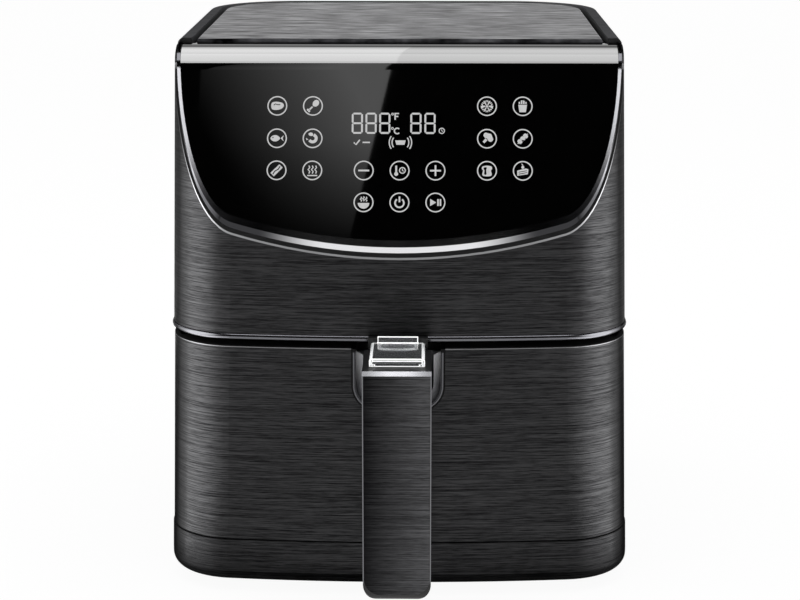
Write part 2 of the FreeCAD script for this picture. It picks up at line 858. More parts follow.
def waist_trim():
    """The polished bead between base and upper housing, with an inner ledge that carries the frame."""
    bead = straight_form("waist_bead", ("waist_height", TRIM_TOP), "waist_height", "-waist_trim_proud")
    low, high = number("waist_height"), number(TRIM_TOP)
    round_edges(bead, "waist_trim_round", lambda p: near(p.z, low) or near(p.z, high))
    hole = form("waist_hole", ("waist_height - 1", f"{TRIM_TOP} + 1"), "waist_trim_depth")
    node(cut("waist_trim_solid", bead, hole), "waist_trim")


def rear_fittings():
    """The exhaust grille in the back wall and the gland where the mains lead enters."""
    half = "(vent_width / 2 - seat_gap / 2)"
    grille = box(
        "vent_blank",
        (f"-{half}", half),
        (f"{BACK} - shell_wall", BACK),
        (f"{VENT_LOW} + seat_gap / 2", f"{VENT_LOW} + vent_height - seat_gap / 2"),
    )
    count = int((SIZES["vent_height"] - 2 * SIZES["vent_border"]) // SIZES["vent_slot_pitch"])
    slots = []
    for i in range(count):
        middle = f"({VENT_LOW} + vent_height / 2 + {i - (count - 1) / 2} * vent_slot_pitch)"
        low = f"({middle} - vent_slot_height / 2)"
        louvre = [
            (f"{BACK} - shell_wall - 1", f"{low} + shell_wall / 2"),
            (f"{BACK} + 1", f"{low} - shell_wall / 2"),
            (f"{BACK} + 1", f"{low} - shell_wall / 2 + vent_slot_height"),
            (f"{BACK} - shell_wall - 1", f"{low} + shell_wall / 2 + vent_slot_height"),
        ]
        across = (f"-{half} + vent_border", f"{half} - vent_border")
        slots.append(prism(f"vent_slot{i}", "YZ", louvre, across))
    node(cut("rear_vent_solid", grille, *slots), "rear_vent")

    wall = f"({BACK} - shell_wall)"
    x, z = "-gland_side", f"{TRIM_TOP} + gland_rise"
    neck = rod("gland_neck_rod", "Y", "gland_neck", (f"{wall} - gland_inner_reach", BACK), x=x, z=z)
    collar = rod("gland_collar", "Y", "gland_flange", (BACK, f"{BACK} + gland_reach"), x=x, z=z)
    nut = rod(
        "gland_nut", "Y", "gland_flange", (f"{wall} - gland_inner_reach", f"{wall} - seat_gap / 2"), x=x, z=z
    )
    bore = rod(
        "gland_bore_rod",
        "Y",
        "gland_bore",
        (f"{wall} - gland_inner_reach - 1", f"{BACK} + gland_reach + 1"),
        x=x,
        z=z,
    )
    node(cut("cord_gland_solid", fuse("gland_blank", neck, collar, nut), bore), "cord_gland")


def rails():
    """The two ledges inside the base that the pan's rim slides on."""
    top = f"({PAN_TOP} - pan_wall - running_gap)"
    made = []
    for i, side in enumerate((-1, 1)):
        inner = f"({PAN_HALF} + pan_rim_width - rail_overlap)"
        outer = f"({width_at('waist_height')} / 2 - shell_wall / 2)"
        x = (inner, outer) if side > 0 else (f"-{outer}", f"-{inner}")
        y = (f"{FRONT} + drawer_wrap", f"{BACK} - corner_radius")
        made.append(box(f"rail{i}", x, y, (f"{top} - rail_height", top)))
    return made


def screw_places():
    return [
        (f"{side} * ({SIDE} - screw_inset_side)", y)
        for side in (-1, 1)
        for y in (f"{FRONT} + screw_inset_end", f"{BACK} - screw_inset_end")
    ]


def base():
    """The base shell with its floor, rails and screw bosses, and the plate, screws and feet below it."""
    foot = straight_form("base_foot", ("foot_height", BASE_BEND_TOP), BASE_BEND_TOP)
    low = number("foot_height")
    round_edges(foot, "base_round", lambda p: near(p.z, low))
    outer = fuse("base_form", foot, form("base_sides", (BASE_BEND_TOP, "waist_height")))
    above = form("base_hollow", (FLOOR_TOP, "waist_height + 1"), "shell_wall")
    below = form("base_under", ("foot_height - 1", FLOOR_LOW), "shell_wall")
    mouth = box(
        "drawer_mouth",
        (f"-{SLAB_HALF}", SLAB_HALF),
        (f"{FRONT} - 20", f"{FRONT} + drawer_wrap"),
        (BAND_TOP, "waist_height + 1"),
    )
    blank = cut("base_blank", outer, above, below, mouth)
    bosses = []
    pilots = []
    for i, (x, y) in enumerate(screw_places()):
        bosses.append(rod(f"base_boss{i}", "Z", "boss_radius", (PLATE_TOP, f"{FLOOR_LOW} + 1"), x, y))
        span = (f"{PLATE_TOP} - 1", f"{PLATE_TOP} + screw_bite + 1")
        pilots.append(rod(f"base_pilot{i}", "Z", "screw_radius + seat_gap / 4", span, x, y))
    shell = cut("base_shell_solid", fuse("base_ribbed", blank, *rails(), *bosses), *pilots)
    node(shell, "base_shell")
    bottom_plate()
    feet()


def bottom_plate():
    plate = form("bottom_plate_form", (PLATE_LOW, PLATE_TOP), "shell_wall + running_gap")
    cuts = []
    screws = []
    for i, (x, y) in enumerate(screw_places()):
        span = (f"{PLATE_LOW} - 1", f"{PLATE_TOP} + 1")
        cuts.append(rod(f"plate_hole{i}", "Z", "screw_radius + seat_gap / 2", span, x, y))
        head_low = f"({PLATE_LOW} - screw_head_height)"
        head = rod(f"screw_head{i}", "Z", "screw_head_radius", (head_low, PLATE_LOW), x, y)
        shank = rod(f"screw_shank{i}", "Z", "screw_radius", (head_low, f"{PLATE_TOP} + screw_bite"), x, y)
        screws.append(fuse(f"base_screw{i}", head, shank))
    for i in range(7):
        y = f"({AXIS_Y} + {i - 3} * bottom_slot_pitch)"
        cuts.append(
            box(
                f"bottom_slot{i}",
                ("-bottom_slot_length / 2", "bottom_slot_length / 2"),
                (f"{y} - bottom_slot_width / 2", f"{y} + bottom_slot_width / 2"),
                (f"{PLATE_LOW} - 1", f"{PLATE_TOP} + 1"),
            )
        )
    node(cut("bottom_plate_solid", plate, *cuts), "bottom_plate")
    node(together("base_screw_set", *screws), "base_screws")


def feet():
    for end, y in (("front", f"{FRONT} + foot_inset_end"), ("rear", f"{BACK} - foot_inset_end")):
        for side, name in ((-1, "left"), (1, "right")):
            profile = [
                ("0", "0"),
                ("foot_radius - foot_taper", "0", "foot_round"),
                ("foot_radius", PLATE_LOW),
                ("0", PLATE_LOW),
            ]
            x = f"{side} * ({SIDE} - foot_inset_side)"
            node(turned(f"foot_{end}_{name}_solid", profile, x, y), f"foot_{end}_{name}")


def drawer():
    """The drawer: its curved front, the liner behind it, the recess round the handle, and the pan."""
    zone_back = f"({FRONT} + drawer_wrap - drawer_gap)"
    side_zone = [
        (f"{FRONT} - 10", DRAWER_LOW),
        (zone_back, DRAWER_LOW, "drawer_corner"),
        (zone_back, DRAWER_TOP, "drawer_corner / 3"),
        (f"{FRONT} - 10", DRAWER_TOP),
    ]
    heights = (f"{DRAWER_LOW} - 1", f"{DRAWER_TOP} + 1")
    shell = cut(
        "drawer_shell",
        form("drawer_form", heights, "drawer_recess"),
        form("drawer_hollow", (f"{DRAWER_LOW} - 2", f"{DRAWER_TOP} + 2"), "drawer_recess + drawer_wall"),
    )
    zone = prism("drawer_zone", "YZ", side_zone, (f"-{SLAB_HALF}", SLAB_HALF))
    notch = notch_block("front_notch", "notch_width / 2", NOTCH_LOW, "notch_round")
    front = cut("drawer_front_solid", common("drawer_panel", shell, zone), notch)
    node(front, "drawer_front")
    drawer_liner()
    handle_recess()
    pan()


def notch_block(name, half, low, radius, y=None):
    """A block with rounded lower corners that cuts an open notch from the top of the drawer front."""
    top = f"({DRAWER_TOP} + 10)"
    corners = [
        (f"-({half})", low, radius),
        (half, low, radius),
        (half, top),
        (f"-({half})", top),
    ]
    y = (f"{FRONT} - 10", f"{PAN_FRONT} + 10") if y is None else y
    return prism(name, "XZ", corners, y)


def drawer_liner():
    """The black box behind the drawer front, open towards it, whose back wall carries the pan."""
    inset = "(drawer_recess + drawer_wall + seat_gap)"
    back = f"({FRONT} + liner_setback + liner_back)"
    low, high = f"({DRAWER_LOW} + liner_wall)", f"({DRAWER_TOP} - seat_gap)"
    whole = common(
        "liner_whole",
        form("liner_form", (low, high), inset),
        box("liner_keep", (f"-{SLAB_HALF}", SLAB_HALF), (FRONT, back), (low, high)),
    )
    inside = (f"{low} + liner_wall", f"{high} - liner_wall")
    hollow = common(
        "liner_hollow",
        form("liner_inner", inside, f"{inset} + liner_wall", "0", "0"),
        box("liner_space", (f"-{SLAB_HALF}", SLAB_HALF), (FRONT, f"{back} - liner_back"), inside),
    )
    notch = notch_block(
        "liner_notch", "notch_width / 2 + seat_gap", f"({NOTCH_LOW} - seat_gap)", "notch_round"
    )
    node(cut("drawer_liner_solid", whole, hollow, notch), "drawer_liner")


def handle_recess():
    """The scooped trough in the top of the drawer front, which the neck of the handle passes through."""
    low = f"({NOTCH_LOW} + seat_gap)"
    half = "(notch_width / 2 - seat_gap)"
    y = (f"{FRONT} + drawer_recess", f"{FRONT} + liner_setback + liner_back")
    top = f"({DRAWER_TOP} - seat_gap)"
    inner = f"({half} - recess_wall)"
    corners = [
        (f"-{half}", top),
        (f"-{half}", low, "notch_round"),
        (half, low, "notch_round"),
        (half, top),
        (inner, top),
        (inner, f"{low} + recess_wall", "notch_round - recess_wall"),
        (f"-{inner}", f"{low} + recess_wall", "notch_round - recess_wall"),
        (f"-{inner}", top),
    ]
    node(prism("handle_recess_solid", "XZ", corners, y), "handle_recess")


def tub(name, x, y, z, radius, wall, rim, rim_top):
    """An open thin-walled tub with rounded corners and a flat rim that stands out round its top."""
    (x0, x1), (y0, y1), (low, top) = x, y, z
    outer = rounded(name + "_outer", x, y, z, radius)
    inner = rounded(
        name + "_inner",
        (f"{x0} + {wall}", f"{x1} - {wall}"),
        (f"{y0} + {wall}", f"{y1} - {wall}"),
        (f"{low} + {wall}", f"{rim_top} + 5"),
        f"{radius} - {wall}",
    )
    flange = rounded(
        name + "_flange",
        (f"{x0} - {rim}", f"{x1} + {rim}"),
        (f"{y0} - {rim}", f"{y1} + {rim}"),
        (f"{rim_top} - {wall}", rim_top),
        f"{radius} + {rim}",
    )
    return cut(name + "_tub", fuse(name + "_solid", outer, flange), inner)


def pan():
    """The outer pan, notched at the front for the handle, and the strike plate for the latch."""
    blank = tub(
        "pan",
        (f"-{PAN_HALF}", PAN_HALF),
        (PAN_FRONT, PAN_BACK),
        (PAN_LOW, PAN_TOP),
        "pan_corner",
        "pan_wall",
        "pan_rim_width",
        PAN_TOP,
    )
    notch = box(
        "pan_notch",
        ("-pan_notch_width / 2", "pan_notch_width / 2"),
        (f"{PAN_FRONT} - pan_rim_width - 1", f"{PAN_FRONT} + pan_wall + 1"),
        (f"{PAN_TOP} - pan_notch_depth", f"{PAN_TOP} + 1"),
    )
    front_rim = box(
        "pan_front_rim",
        (f"-{SLAB_HALF}", SLAB_HALF),
        (f"{PAN_FRONT} - pan_rim_width - 1", f"{FRONT} + liner_setback + liner_back + seat_gap"),
        (f"{PAN_TOP} - pan_wall - 1", f"{PAN_TOP} + 1"),
    )
    node(cut("outer_pan_solid", blank, notch, front_rim), "outer_pan")

    rear = f"({FRONT} + liner_setback + liner_back)"
    plate = box(
        "strike_blank",
        ("-strike_width / 2", "strike_width / 2"),
        (rear, f"{rear} + strike_thickness"),
        (f"{HOOK_LOW} - strike_drop", f"{NOTCH_LOW} - seat_gap"),
    )
    window = box(
        "strike_window",
        ("-lever_width / 2 - hook_side_gap", "lever_width / 2 + hook_side_gap"),
        (f"{rear} - 1", f"{rear} + strike_thickness + 1"),
        (f"{HOOK_LOW} - running_gap", f"{HOOK_LOW} + hook_height + running_gap"),
    )
    node(cut("strike_plate_solid", plate, window), "strike_plate")


def basket():
    """The inner basket: walls with a rim and an inward foot, the slotted floor on it, and side bumpers."""
    half = BASKET_HALF
    rim_low = f"({PAN_TOP} + seat_gap)"
    rim_top = f"({rim_low} + basket_wall)"
    rim = "(basket_side_gap + basket_rim_lap)"
    blank = tub(
        "basket",
        (f"-{half}", half),
        (BASKET_FRONT, BASKET_BACK),
        (BASKET_LOW, rim_top),
        "basket_corner",
        "basket_wall",
        rim,
        rim_top,
    )
    opening = rounded(
        "basket_opening",
        (f"-{half} + basket_foot_width", f"{half} - basket_foot_width"),
        (f"{BASKET_FRONT} + basket_foot_width", f"{BASKET_BACK} - basket_foot_width"),
        (f"{BASKET_LOW} - 1", f"{BASKET_LOW} + basket_wall + 1"),
        "basket_corner - basket_foot_width",
    )
    node(cut("inner_basket_solid", blank, opening), "inner_basket")

    inset = "(basket_wall + running_gap)"
    low = f"({BASKET_LOW} + basket_wall)"
    plate = rounded(
        "basket_floor_blank",
        (f"-{half} + {inset}", f"{half} - {inset}"),
        (f"{BASKET_FRONT} + {inset}", f"{BASKET_BACK} - {inset}"),
        (low, f"{low} + basket_wall"),
        f"basket_corner - {inset}",
    )
    slots = []
    for column in range(9):
        for row in range(13):
            x = f"({column - 4} * basket_slot_pitch_x)"
            y = f"({BASKET_MIDDLE} + {row - 6} * basket_slot_pitch_y)"
            slots.append(
                box(
                    f"floor_slot_{column}_{row}",
                    (f"{x} - basket_slot_length / 2", f"{x} + basket_slot_length / 2"),
                    (f"{y} - basket_slot_width / 2", f"{y} + basket_slot_width / 2"),
                    (f"{low} - 1", f"{low} + basket_wall + 1"),
                )
            )
    node(cut("basket_floor_solid", plate, *slots), "basket_floor")

    bumpers = []
    reach = f"({PAN_HALF} - pan_wall - running_gap)"
    for i, side in enumerate((-1, 1)):
        for j, turn in enumerate((-1, 1)):
            span = (half, reach) if side > 0 else (f"-{reach}", f"-{half}")
            y = f"{BASKET_MIDDLE} + {turn} * ({BASKET_BACK} - {BASKET_FRONT}) / 4"
            z = f"{BASKET_LOW} + bumper_rise"
            bumpers.append(rod(f"bumper{i}{j}", "X", "bumper_radius", span, y=y, z=z))
    node(together("basket_bumper_set", *bumpers), "basket_bumpers")


NECK_BACK = f"({BASKET_FRONT} - bracket_thickness)"
BUTTON_Y = f"({HANDLE_FRONT} + button_behind_front)"
PIVOT_Y = f"({NECK_BACK} - pivot_boss - 1)"


def handle():
    """The handle: neck and grip in one moulding, its framed brushed front, and the bracket on the basket."""
    face = f"({HANDLE_FRONT} + handle_face_depth)"
    grip_back = f"({HANDLE_FRONT} + handle_grip_depth)"
    step = f"({FRONT} - neck_step)"
    side = [
        (NECK_BACK, NECK_BOTTOM),
        (NECK_BACK, NECK_TOP),
        (step, NECK_TOP),
        (f"{step} - neck_step", HANDLE_TOP),
        (face, HANDLE_TOP),
        (face, "handle_bottom", "handle_chin"),
        (grip_back, "handle_bottom", "handle_back_round"),
        (grip_back, NECK_BOTTOM, "handle_palm_round"),
    ]
    half = "(handle_width / 2)"
    bar = prism("handle_bar", "YZ", side, (f"-{half}", half))
    ends = prism(
        "handle_ends",
        "XZ",
        [
            (f"-{half}", "handle_bottom", "handle_end_round"),
            (half, "handle_bottom", "handle_end_round"),
            (half, f"{HANDLE_TOP} + 1"),
            (f"-{half}", f"{HANDLE_TOP} + 1"),
        ],
        (f"{HANDLE_FRONT} - 5", f"{NECK_BACK} + 5"),
    )
    trims = []
    for i, turn in enumerate((-1, 1)):
        x = ("neck_width / 2", "handle_width") if turn > 0 else ("-handle_width", "-neck_width / 2")
        y = (f"{step} - neck_step", f"{NECK_BACK} + 1")
        trims.append(box(f"neck_side{i}", x, y, ("0", "total_height")))
    plateau = prism(
        "plateau",
        "XY",
        rectangle(
            ("-plateau_width / 2", "plateau_width / 2"),
            (PLATEAU_FRONT, f"{step} - neck_step"),
        ),
        (f"{HANDLE_TOP} - 1", PLATEAU_TOP),
    )
    grooves = []
    for i, turn in enumerate((-1, 1)):
        inner, outer = "plateau_width / 2 - guard_lip - running_gap", "plateau_width"
        x = (inner, outer) if turn > 0 else (f"-({outer})", f"-({inner})")
        grooves.append(
            box(
                f"guard_groove{i}",
                x,
                (f"{HANDLE_FRONT} + guard_front - guard_travel", step),
                (f"{HANDLE_TOP} + running_gap / 2", f"{GUARD_LIP_TOP} + running_gap / 2"),
            )
        )
    collar = box(
        "handle_collar",
        ("-neck_width / 2", "neck_width / 2"),
        (f"{BUTTON_Y} + button_length / 2 + 2 * running_gap", f"{FRONT} - waist_trim_proud - collar_gap"),
        (f"{NECK_TOP} - neck_step", f"{PLATEAU_TOP} + collar_height"),
    )
    slim = cut("handle_slim", common("handle_grip", bar, ends), *trims)
    solid = fuse("handle_blank", slim, plateau, collar)
    hollows = [button_well(), *latch_channel()]
    screws, pilots = handle_screws()
    node(cut("handle_body_solid", solid, *grooves, *hollows, *pilots), "handle_body")
    node(together("handle_screw_set", *screws), "handle_screws")
    handle_face(face)
    handle_bracket()


def handle_face(face):
    """The bright frame over the top and sides of the handle's front, and the brushed plate inside it."""
    half = "(handle_width / 2)"
    low, strip_low = "(handle_bottom + handle_chin)", f"({HANDLE_TOP} - handle_brow)"
    through = (f"{HANDLE_FRONT} - 1", f"{face} + 1")
    edge = "handle_bezel_width"

    def face_block(name, inset, high, y):
        corners = [
            (f"-{half} + ({inset})", low, f"handle_end_round - ({inset})"),
            (f"{half} - ({inset})", low, f"handle_end_round - ({inset})"),
            (f"{half} - ({inset})", high),
            (f"-{half} + ({inset})", high),
        ]
        return prism(name, "XZ", corners, y)

    sloped = prism(
        "bezel_slope",
        "YZ",
        [
            (face, f"{low} - 1"),
            (face, HANDLE_TOP),
            (f"{HANDLE_FRONT} + handle_brow", HANDLE_TOP),
            (HANDLE_FRONT, strip_low),
            (HANDLE_FRONT, f"{low} - 1"),
        ],
        (f"-{half}", half),
    )
    blank = common("bezel_blank", face_block("bezel_outer", "0", HANDLE_TOP, through), sloped)
    inside = (f"-{half} + {edge}", f"{half} - {edge}")
    window = box("bezel_window", inside, through, (f"{low} - 1", strip_low))
    node(cut("handle_bezel_solid", blank, window), "handle_bezel")
    front = (f"{HANDLE_FRONT} + handle_plate_drop", face)
    high = f"({strip_low} - handle_bezel_gap)"
    node(face_block("handle_front_solid", f"{edge} + handle_bezel_gap", high, front), "handle_front")


def button_well():
    """The oval well in the plateau that the release button moves in."""
    return oval("button_well_cut", "running_gap / 2", (CHANNEL_LOW, f"{PLATEAU_TOP} + 1"))


def oval(name, grow, z):
    """A block with round ends, as wide as the release button grown by a clearance."""
    x = (f"-button_width / 2 - ({grow})", f"button_width / 2 + ({grow})")
    y = (f"{BUTTON_Y} - button_length / 2 - ({grow})", f"{BUTTON_Y} + button_length / 2 + ({grow})")
    return rounded(name, x, y, z, f"button_length / 2 + ({grow}) - 0.5")


def latch_channel():
    """The slot through the neck for the latch lever, the way out for its hook and the hole for its pin."""
    half = "(channel_width / 2)"
    across = (f"-{half}", half)
    channel = box("lever_channel", across, (BUTTON_Y, f"{NECK_BACK} + 1"), (CHANNEL_LOW, CHANNEL_HIGH))
    way_out = box(
        "hook_way",
        across,
        (f"{PIVOT_Y} - pivot_boss - hook_thickness", f"{NECK_BACK} + 1"),
        (f"{NECK_BOTTOM} - 1", CHANNEL_HIGH),
    )
    through = ("-handle_width", "handle_width")
    pin_hole = rod("latch_pin_hole", "X", "pivot_radius", through, y=PIVOT_Y, z=PIVOT_Z)
    return channel, way_out, pin_hole


def handle_screws():
    """Two screws that hold the bracket on the end of the neck, with their pilot holes."""
    screws, pilots = [], []
    z = f"({NECK_BOTTOM} + bracket_screw_rise)"
    for i, side in enumerate((-1, 1)):
        x = f"{side} * (neck_width / 2 - bracket_screw_inset)"
        span = (f"{NECK_BACK} - screw_bite", f"{NECK_BACK} + bracket_thickness")
        screws.append(rod(f"handle_screw{i}", "Y", "screw_radius", span, x=x, z=z))
        hole = (f"{NECK_BACK} - screw_bite - 1", f"{NECK_BACK} + bracket_thickness + 1")
        pilots.append(rod(f"handle_pilot{i}", "Y", "screw_radius + seat_gap / 4", hole, x=x, z=z))
    return screws, pilots


def handle_bracket():
    """The pressed steel bracket on the front wall of the basket that the neck is screwed to."""
    plate = prism(
        "bracket_plate",
        "XZ",
        rectangle(
            ("-bracket_width / 2", "bracket_width / 2"),
            (f"{NECK_BOTTOM} - bracket_below", f"{NECK_TOP} - bracket_above"),
            "bracket_round",
        ),
        (NECK_BACK, BASKET_FRONT),
    )
    holes = []
    for i, side in enumerate((-1, 1)):
        x = f"{side} * (neck_width / 2 - bracket_screw_inset)"
        z = f"{NECK_BOTTOM} + bracket_screw_rise"
        span = (f"{NECK_BACK} - 1", f"{BASKET_FRONT} + 1")
        holes.append(rod(f"bracket_hole{i}", "Y", "screw_radius + seat_gap / 2", span, x=x, z=z))
    node(cut("handle_bracket_solid", plate, *holes), "handle_bracket")


def release():
    """The release button, the clear guard that slides over it, and the latch that it works."""
    top = f"({PLATEAU_TOP} + button_rise)"
    stem = f"({LEVER_LOW} + lever_height + seat_gap)"
    cap = oval("button_cap", "0", (f"{stem} + button_foot", top))
    foot = box(
        "button_foot_block",
        ("-lever_width / 2", "lever_width / 2"),
        (f"{BUTTON_Y} - button_foot_length / 2", f"{BUTTON_Y} + button_foot_length / 2"),
        (stem, f"{stem} + button_foot + 1"),
    )
    dish = doc.addObject("Part::Sphere", "button_dish_ball")
    bind(dish, "Radius", "button_dish")
    place(dish, 0, BUTTON_Y, f"{top} + button_dish - button_hollow")
    node(cut("release_button_solid", fuse("button_blank", cap, foot), dish), "release_button")

    pin_span = ("-neck_width / 2 + 1", "neck_width / 2 - 1")
    node(rod("latch_pin_solid", "X", "pivot_radius", pin_span, y=PIVOT_Y, z=PIVOT_Z), "latch_pin")
    half = "(lever_width / 2)"
    boss = rod("lever_boss", "X", "pivot_boss", (f"-{half}", half), y=PIVOT_Y, z=PIVOT_Z)
    arm = box(
        "lever_arm",
        (f"-{half}", half),
        (f"{BUTTON_Y} - spring_radius - spring_wire / 2", PIVOT_Y),
        (LEVER_LOW, f"{LEVER_LOW} + lever_height"),
    )
    hook_front = f"({FRONT} + liner_setback + liner_back + strike_thickness)"
    drop = box(
        "lever_drop",
        (f"-{half}", half),
        (f"{PIVOT_Y} - hook_thickness / 2", f"{PIVOT_Y} + hook_thickness / 2"),
        (HOOK_LOW, PIVOT_Z),
    )
    tip = box(
        "lever_tip",
        (f"-{half}", half),
        (f"{hook_front} - hook_bite", PIVOT_Y),
        (HOOK_LOW, f"{HOOK_LOW} + hook_height"),
    )
    through = ("-handle_width", "handle_width")
    hole = rod("lever_hole", "X", "pivot_radius + pivot_play", through, y=PIVOT_Y, z=PIVOT_Z)
    node(cut("latch_lever_solid", fuse("lever_blank", boss, arm, drop, tip), hole), "latch_lever")
    latch_spring()
    button_guard()


def latch_spring():
    """The small coil spring that holds the lever and the button up."""
    body = doc.addObject("PartDesign::Body", "latch_spring_solid")
    sketch = sketch_on(body, "XZ")
    wire = sketch.addGeometry(Part.Circle(Vector(number("spring_radius"), 0, 0), Vector(0, 0, 1), 0.5))
    index = sketch.addConstraint(Sketcher.Constraint("Radius", wire, number("spring_wire / 2")))
    bind(sketch, f"Constraints[{index}]", "spring_wire / 2")
    index = sketch.addConstraint(Sketcher.Constraint("DistanceX", -1, 1, wire, 3, number("spring_radius")))
    bind(sketch, f"Constraints[{index}]", "spring_radius")
    sketch.addConstraint(Sketcher.Constraint("PointOnObject", wire, 3, -1))
    coil = body.newObject("PartDesign::AdditiveHelix", "latch_spring_coil")
    coil.Profile = sketch
    coil.ReferenceAxis = (sketch, ["V_Axis"])
    coil.Mode = "height-turns-angle"
    bind(coil, "Height", f"{LEVER_LOW} - {CHANNEL_LOW} - spring_wire - seat_gap")
    bind(coil, "Turns", "spring_turns")
    place(body, 0, BUTTON_Y, f"{CHANNEL_LOW} + spring_wire / 2 + seat_gap / 2")
    node(body, "latch_spring")


def button_guard():
    """The clear cover over the button: a tunnel with a front wall and lips that run in grooves."""
    inner = "(plateau_width / 2 + running_gap)"
    outer = f"({inner} + guard_wall)"
    low = f"({HANDLE_TOP} + running_gap)"
    roof = f"({PLATEAU_TOP} + guard_height)"
    y0 = f"({HANDLE_FRONT} + guard_front)"
    y1 = f"({y0} + guard_length)"
    blank = prism(
        "guard_blank",
        "XZ",
        [
            (f"-{outer}", low),
            (outer, low),
            (outer, roof, "guard_round"),
            (f"-{outer}", roof, "guard_round"),
        ],
        (y0, y1),
    )
    lip = "(plateau_width / 2 - guard_lip)"
    behind_wall = (f"{y0} + guard_wall", f"{y1} + 1")
    tunnel = box("guard_tunnel", (f"-{inner}", inner), behind_wall, (GUARD_LIP_TOP, f"{roof} - guard_wall"))
    between_lips = box("guard_between", (f"-{lip}", lip), behind_wall, (f"{low} - 1", f"{GUARD_LIP_TOP} + 1"))
    tab = box(
        "guard_tab",
        ("-guard_tab_width / 2", "guard_tab_width / 2"),
        (f"{y1} - guard_wall", y1),
        (f"{roof} - guard_wall", f"{roof} + guard_tab_rise"),
    )
    cover = fuse("guard_cover", blank, tab)
    node(cut("button_guard_solid", cover, tunnel, between_lips), "button_guard")


def heater_chamber():
    """The frame at the waist, the hood on it, and the heating coil, its brackets, guard and probe."""
    plate = form("frame_form", (TRIM_TOP, FRAME_TOP), "shell_wall + seat_gap")
    half_x = f"({HOOD_HALF_X} - hood_opening)"
    half_y = f"({HOOD_HALF_Y} - hood_opening)"
    opening = rounded(
        "frame_opening",
        (f"-{half_x}", half_x),
        (f"{AXIS_Y} - {half_y}", f"{AXIS_Y} + {half_y}"),
        (f"{TRIM_TOP} - 1", f"{FRAME_TOP} + 1"),
        "hood_corner - hood_opening",
    )
    node(cut("mid_frame_solid", plate, opening), "mid_frame")

    x = (f"-{HOOD_HALF_X}", HOOD_HALF_X)
    y = (f"{AXIS_Y} - {HOOD_HALF_Y}", f"{AXIS_Y} + {HOOD_HALF_Y}")
    outer = rounded("hood_outer", x, y, (FRAME_TOP, HOOD_TOP), "hood_corner")
    inner = rounded(
        "hood_inner",
        (f"{x[0]} + hood_wall", f"{x[1]} - hood_wall"),
        (f"{y[0]} + hood_wall", f"{y[1]} - hood_wall"),
        (f"{FRAME_TOP} - 1", f"{HOOD_TOP} - hood_wall"),
        "hood_corner - hood_wall",
    )
    flange = rounded(
        "hood_rim",
        (f"{x[0]} - hood_flange", f"{x[1]} + hood_flange"),
        (f"{y[0]} - hood_flange", f"{y[1]} + hood_flange"),
        (FRAME_TOP, f"{FRAME_TOP} + hood_wall"),
        "hood_corner + hood_flange",
    )
    through = (f"{HOOD_TOP} - hood_wall - 1", f"{HOOD_TOP} + 1")
    holes = [rod("hood_shaft_hole", "Z", "shaft_radius + 2", through, 0, AXIS_Y)]
    for i, (leg_x, leg_y) in enumerate(coil_legs()):
        holes.append(rod(f"hood_leg_hole{i}", "Z", "coil_tube + coil_hole_gap", through, leg_x, leg_y))
    probe_x, probe_y = "probe_offset", f"{AXIS_Y} + probe_offset"
    holes.append(rod("hood_probe_hole", "Z", "probe_radius + seat_gap / 2", through, probe_x, probe_y))
    duct = duct_opening()
    holes.append(
        box(
            "hood_duct_hole",
            duct[0],
            (f"{y[1]} - hood_wall - 1", f"{y[1]} + 1"),
            duct[1],
        )
    )
    node(cut("heater_hood_solid", fuse("hood_blank", outer, flange), inner, *holes), "heater_hood")
    heating_coil()
    heater_guard()
    cap_top = f"({HOOD_TOP} + probe_cap)"
    reach = (f"{HOOD_TOP} - probe_length", f"{cap_top} + probe_stub")
    probe = rod("probe_rod", "Z", "probe_radius", reach, probe_x, probe_y)
    cap = rod("probe_collar", "Z", "probe_radius * 2", (HOOD_TOP, cap_top), probe_x, probe_y)
    node(fuse("temperature_probe_solid", probe, cap), "temperature_probe")


COIL_END = "(coil_start + coil_pitch * coil_turns)"
COIL_Z = f"({HOOD_TOP} - coil_drop)"
COIL_UNDER = f"({COIL_Z} - coil_tube - seat_gap / 2)"


def coil_legs():
    """Where the two ends of the heating coil rise through the hood."""
    return [
        ("-coil_start", f"{AXIS_Y} + coil_bend"),
        (f"-{COIL_END}", f"{AXIS_Y} - coil_bend"),
    ]


def coil_path():
    """A flat spiral of half turns that widens evenly, with both ends bent straight up."""
    start, pitch, bend = number("coil_start"), number("coil_pitch"), number("coil_bend")
    y, z, top = number(AXIS_Y), number(COIL_Z), number(f"{HOOD_TOP} + coil_leg")
    corner = bend * (1 - math.sqrt(0.5))
    edges = [
        Part.LineSegment(Vector(-start, y + bend, top), Vector(-start, y + bend, z + bend)),
        Part.Arc(
            Vector(-start, y + bend, z + bend),
            Vector(-start, y + bend - corner, z + corner),
            Vector(-start, y, z),
        ),
    ]
    x, side = -start, -1
    for half_turn in range(1, 2 * int(number("coil_turns")) + 1):
        far = -side * (start + half_turn * pitch / 2)
        radius = abs(far - x) / 2
        crown = Vector((x + far) / 2, y + side * radius, z)
        edges.append(Part.Arc(Vector(x, y, z), crown, Vector(far, y, z)))
        x, side = far, -side
    edges.append(
        Part.Arc(Vector(x, y, z), Vector(x, y - bend + corner, z + corner), Vector(x, y - bend, z + bend))
    )
    edges.append(Part.LineSegment(Vector(x, y - bend, z + bend), Vector(x, y - bend, top)))
    return Part.Wire([edge.toShape() for edge in edges])


def self_gap(path, tube, steps=400):
    """The least clear space between turns of a tube that follows a path."""
    points = path.discretize(Number=steps)
    apart = path.Length / (steps - 1)
    skip = int(4 * tube / apart) + 1
    least = min(a.distanceToPoint(b) for i, a in enumerate(points) for b in points[i + skip :])
    return least - 2 * tube


